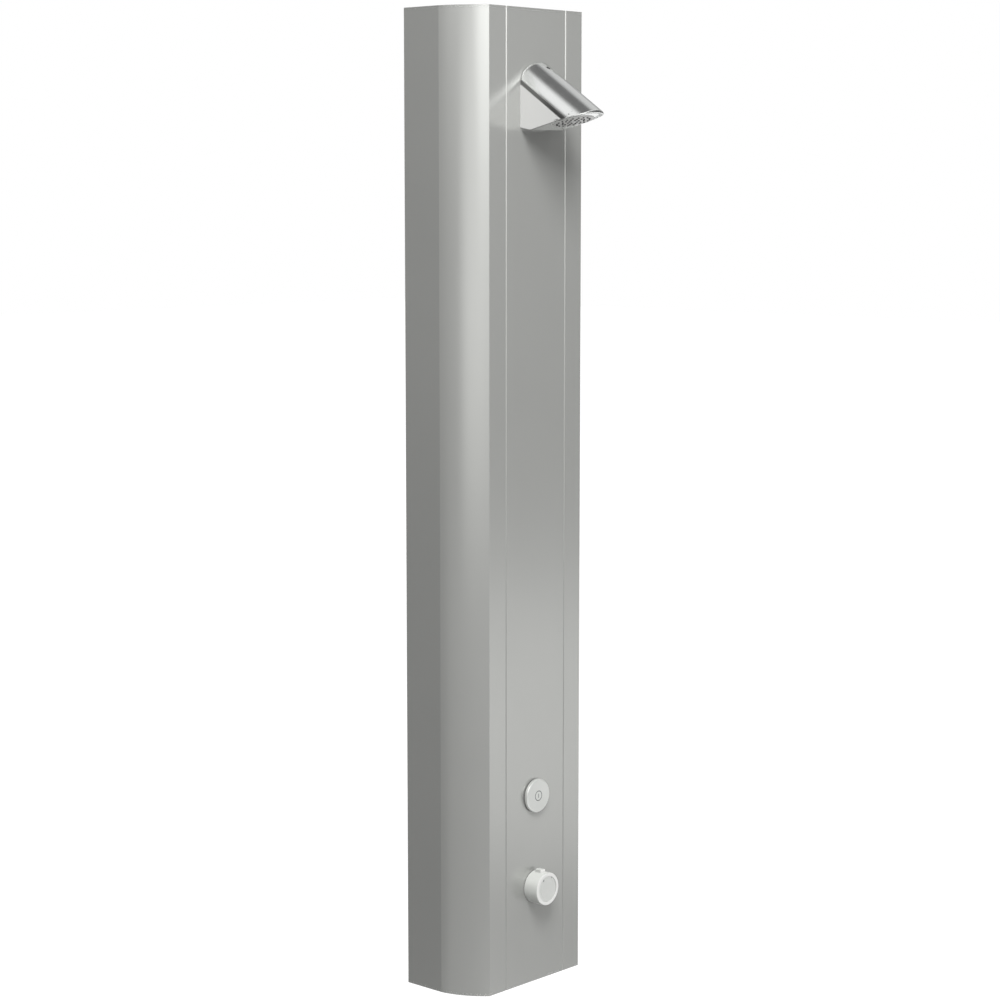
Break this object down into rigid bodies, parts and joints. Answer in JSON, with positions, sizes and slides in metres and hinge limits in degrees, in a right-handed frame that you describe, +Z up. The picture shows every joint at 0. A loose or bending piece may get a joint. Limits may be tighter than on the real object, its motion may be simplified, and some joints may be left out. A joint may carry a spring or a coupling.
{
  "type": "shower panel",
  "caption": "Wall-mounted shower panel: tall aluminium housing with a fixed sloping shower head, a start button and a thermostat knob, with its valves and control box inside.",
  "frame": {"origin": "on the wall plane, at the middle of the four wall holes of the two brackets", "axes": "+Z up along the panel, +Y into the wall, so the front faces -Y, +X to the right as seen from the front"},
  "size_m": [0.224, 0.2227, 1.2],
  "materials": {
    "anodised_shell": "satin anodised aluminium, semi-gloss",
    "anodised_cap": "satin anodised aluminium",
    "screw_steel": "stainless screws",
    "zinc_sheet": "zinc-plated sheet",
    "mill_aluminium": "sawn aluminium",
    "head_chrome": "polished chrome on cast brass",
    "satin_chrome": "satin chrome",
    "nozzle_rubber": "dark silicone",
    "brass": "machined brass",
    "dark_steel": "blackened steel",
    "green_plastic": "moulded plastic",
    "copper": "drawn copper tube",
    "black_plastic": "glass-filled plastic",
    "seal_rubber": "EPDM rubber",
    "spring_steel": "spring wire",
    "white_plastic": "moulded plastic",
    "blue_plastic": "moulded plastic",
    "knob_disc": "satin chrome disc",
    "button_metal": "satin chrome",
    "grey_plastic": "moulded plastic",
    "board_green": "coated circuit board",
    "cell_wrap": "shrink-wrapped cells",
    "cable_rubber": "cable sheath",
    "satin_nickel": "nickel-plated brass",
    "hot_mark": "red-marked ball stem",
    "cold_mark": "blue-marked ball stem"
  },
  "bodies": {
    "panel": {"housing_profile": "anodised_shell", "top_cap": "anodised_cap", "bottom_cap": "anodised_cap", "case_screws": "screw_steel", "carrier_plate": "zinc_sheet", "upper_wall_bracket": "zinc_sheet", "lower_wall_bracket": "zinc_sheet", "hanger_hooks": "mill_aluminium", "locking_screws": "screw_steel", "head_body": "head_chrome", "spray_plate": "satin_chrome", "spray_nozzles": "nozzle_rubber", "spray_screw": "screw_steel", "head_nipple": "brass", "head_grub_screw": "dark_steel", "head_nut": "brass", "flow_regulator": "green_plastic", "head_elbow": "brass", "riser_pipe": "copper", "supply_pipe": "copper", "pipe_nuts": "brass", "solenoid_body": "black_plastic", "solenoid_bonnet": "screw_steel", "solenoid_coil": "black_plastic", "plunger_spring": "spring_steel", "mixer_body": "brass", "thermostat_cartridge": "white_plastic", "return_spring": "spring_steel", "fixing_screws": "screw_steel", "check_valves": "blue_plastic", "stop_ring": "black_plastic", "button_sleeve": "black_plastic", "button_nut": "brass", "button_seal": "seal_rubber", "button_spring": "spring_steel", "switch_module": "blue_plastic", "control_box": "grey_plastic", "control_lid": "grey_plastic", "circuit_board": "board_green", "battery_cells": "cell_wrap", "switch_cable": "cable_rubber", "valve_cable": "cable_rubber", "hot_stop_valve": "satin_nickel", "cold_stop_valve": "satin_nickel", "inlet_nuts": "brass"},
    "knob": {"knob_body": "satin_chrome", "knob_face": "knob_disc", "knob_screw": "screw_steel", "mixer_spindle": "brass", "stop_spring": "spring_steel"},
    "stop_button": {"stop_button": "satin_chrome"},
    "piston": {"thermostat_piston": "brass", "wax_element": "copper"},
    "start_button": {"start_button": "button_metal"},
    "plunger": {"solenoid_plunger": "dark_steel"},
    "diaphragm": {"valve_diaphragm": "seal_rubber"},
    "hot_ball": {"hot_stop_ball": "hot_mark"},
    "cold_ball": {"cold_stop_ball": "cold_mark"},
    "hot_poppet": {"hot_check_poppet": "white_plastic"},
    "cold_poppet": {"cold_check_poppet": "white_plastic"}
  },
  "joints": [
    {"name": "knob_turn", "type": "hinge", "parent": "panel", "child": "knob", "pos_m": [0, -0.112, -0.3955], "axis": [0, -1, 0], "range_deg": [-180, 60]},
    {"name": "piston_slide", "type": "slide", "parent": "panel", "child": "piston", "axis": [0, 1, 0], "range_m": [-0.0007, 0.002], "deforming": ["return_spring"]},
    {"name": "stop_press", "type": "slide", "parent": "knob", "child": "stop_button", "axis": [0, 0, -1], "range_m": [0, 0.0025], "stiffness_N_per_m": 400, "springref_m": -0.0005, "deforming": ["stop_spring"]},
    {"name": "start_press", "type": "slide", "parent": "panel", "child": "start_button", "axis": [0, 1, 0], "range_m": [0, 0.0015], "stiffness_N_per_m": 800, "springref_m": -0.0005, "deforming": ["button_spring"]},
    {"name": "plunger_lift", "type": "slide", "parent": "panel", "child": "plunger", "axis": [1, 0, 0], "range_m": [0, 0.002], "stiffness_N_per_m": 200, "springref_m": -0.001, "deforming": ["plunger_spring"]},
    {"name": "diaphragm_lift", "type": "slide", "parent": "panel", "child": "diaphragm", "axis": [1, 0, 0], "range_m": [0, 0.001]},
    {"name": "hot_stop_turn", "type": "hinge", "parent": "panel", "child": "hot_ball", "pos_m": [-0.075, -0.026, -0.3955], "axis": [0, 0, 1], "range_deg": [0, 90]},
    {"name": "cold_stop_turn", "type": "hinge", "parent": "panel", "child": "cold_ball", "pos_m": [0.075, -0.026, -0.3955], "axis": [0, 0, 1], "range_deg": [0, 90]},
    {"name": "hot_check_lift", "type": "slide", "parent": "panel", "child": "hot_poppet", "axis": [1, 0, 0], "range_m": [0, 0.003], "stiffness_N_per_m": 60, "springref_m": -0.001},
    {"name": "cold_check_lift", "type": "slide", "parent": "panel", "child": "cold_poppet", "axis": [-1, 0, 0], "range_m": [0, 0.003], "stiffness_N_per_m": 60, "springref_m": -0.001}
  ],
  "couplings": [
    {"joint": "piston_slide", "follows": "knob_turn", "m_per_rad": -0.0006},
    {"joint": "diaphragm_lift", "follows": "plunger_lift", "ratio": 0.5}
  ]
}
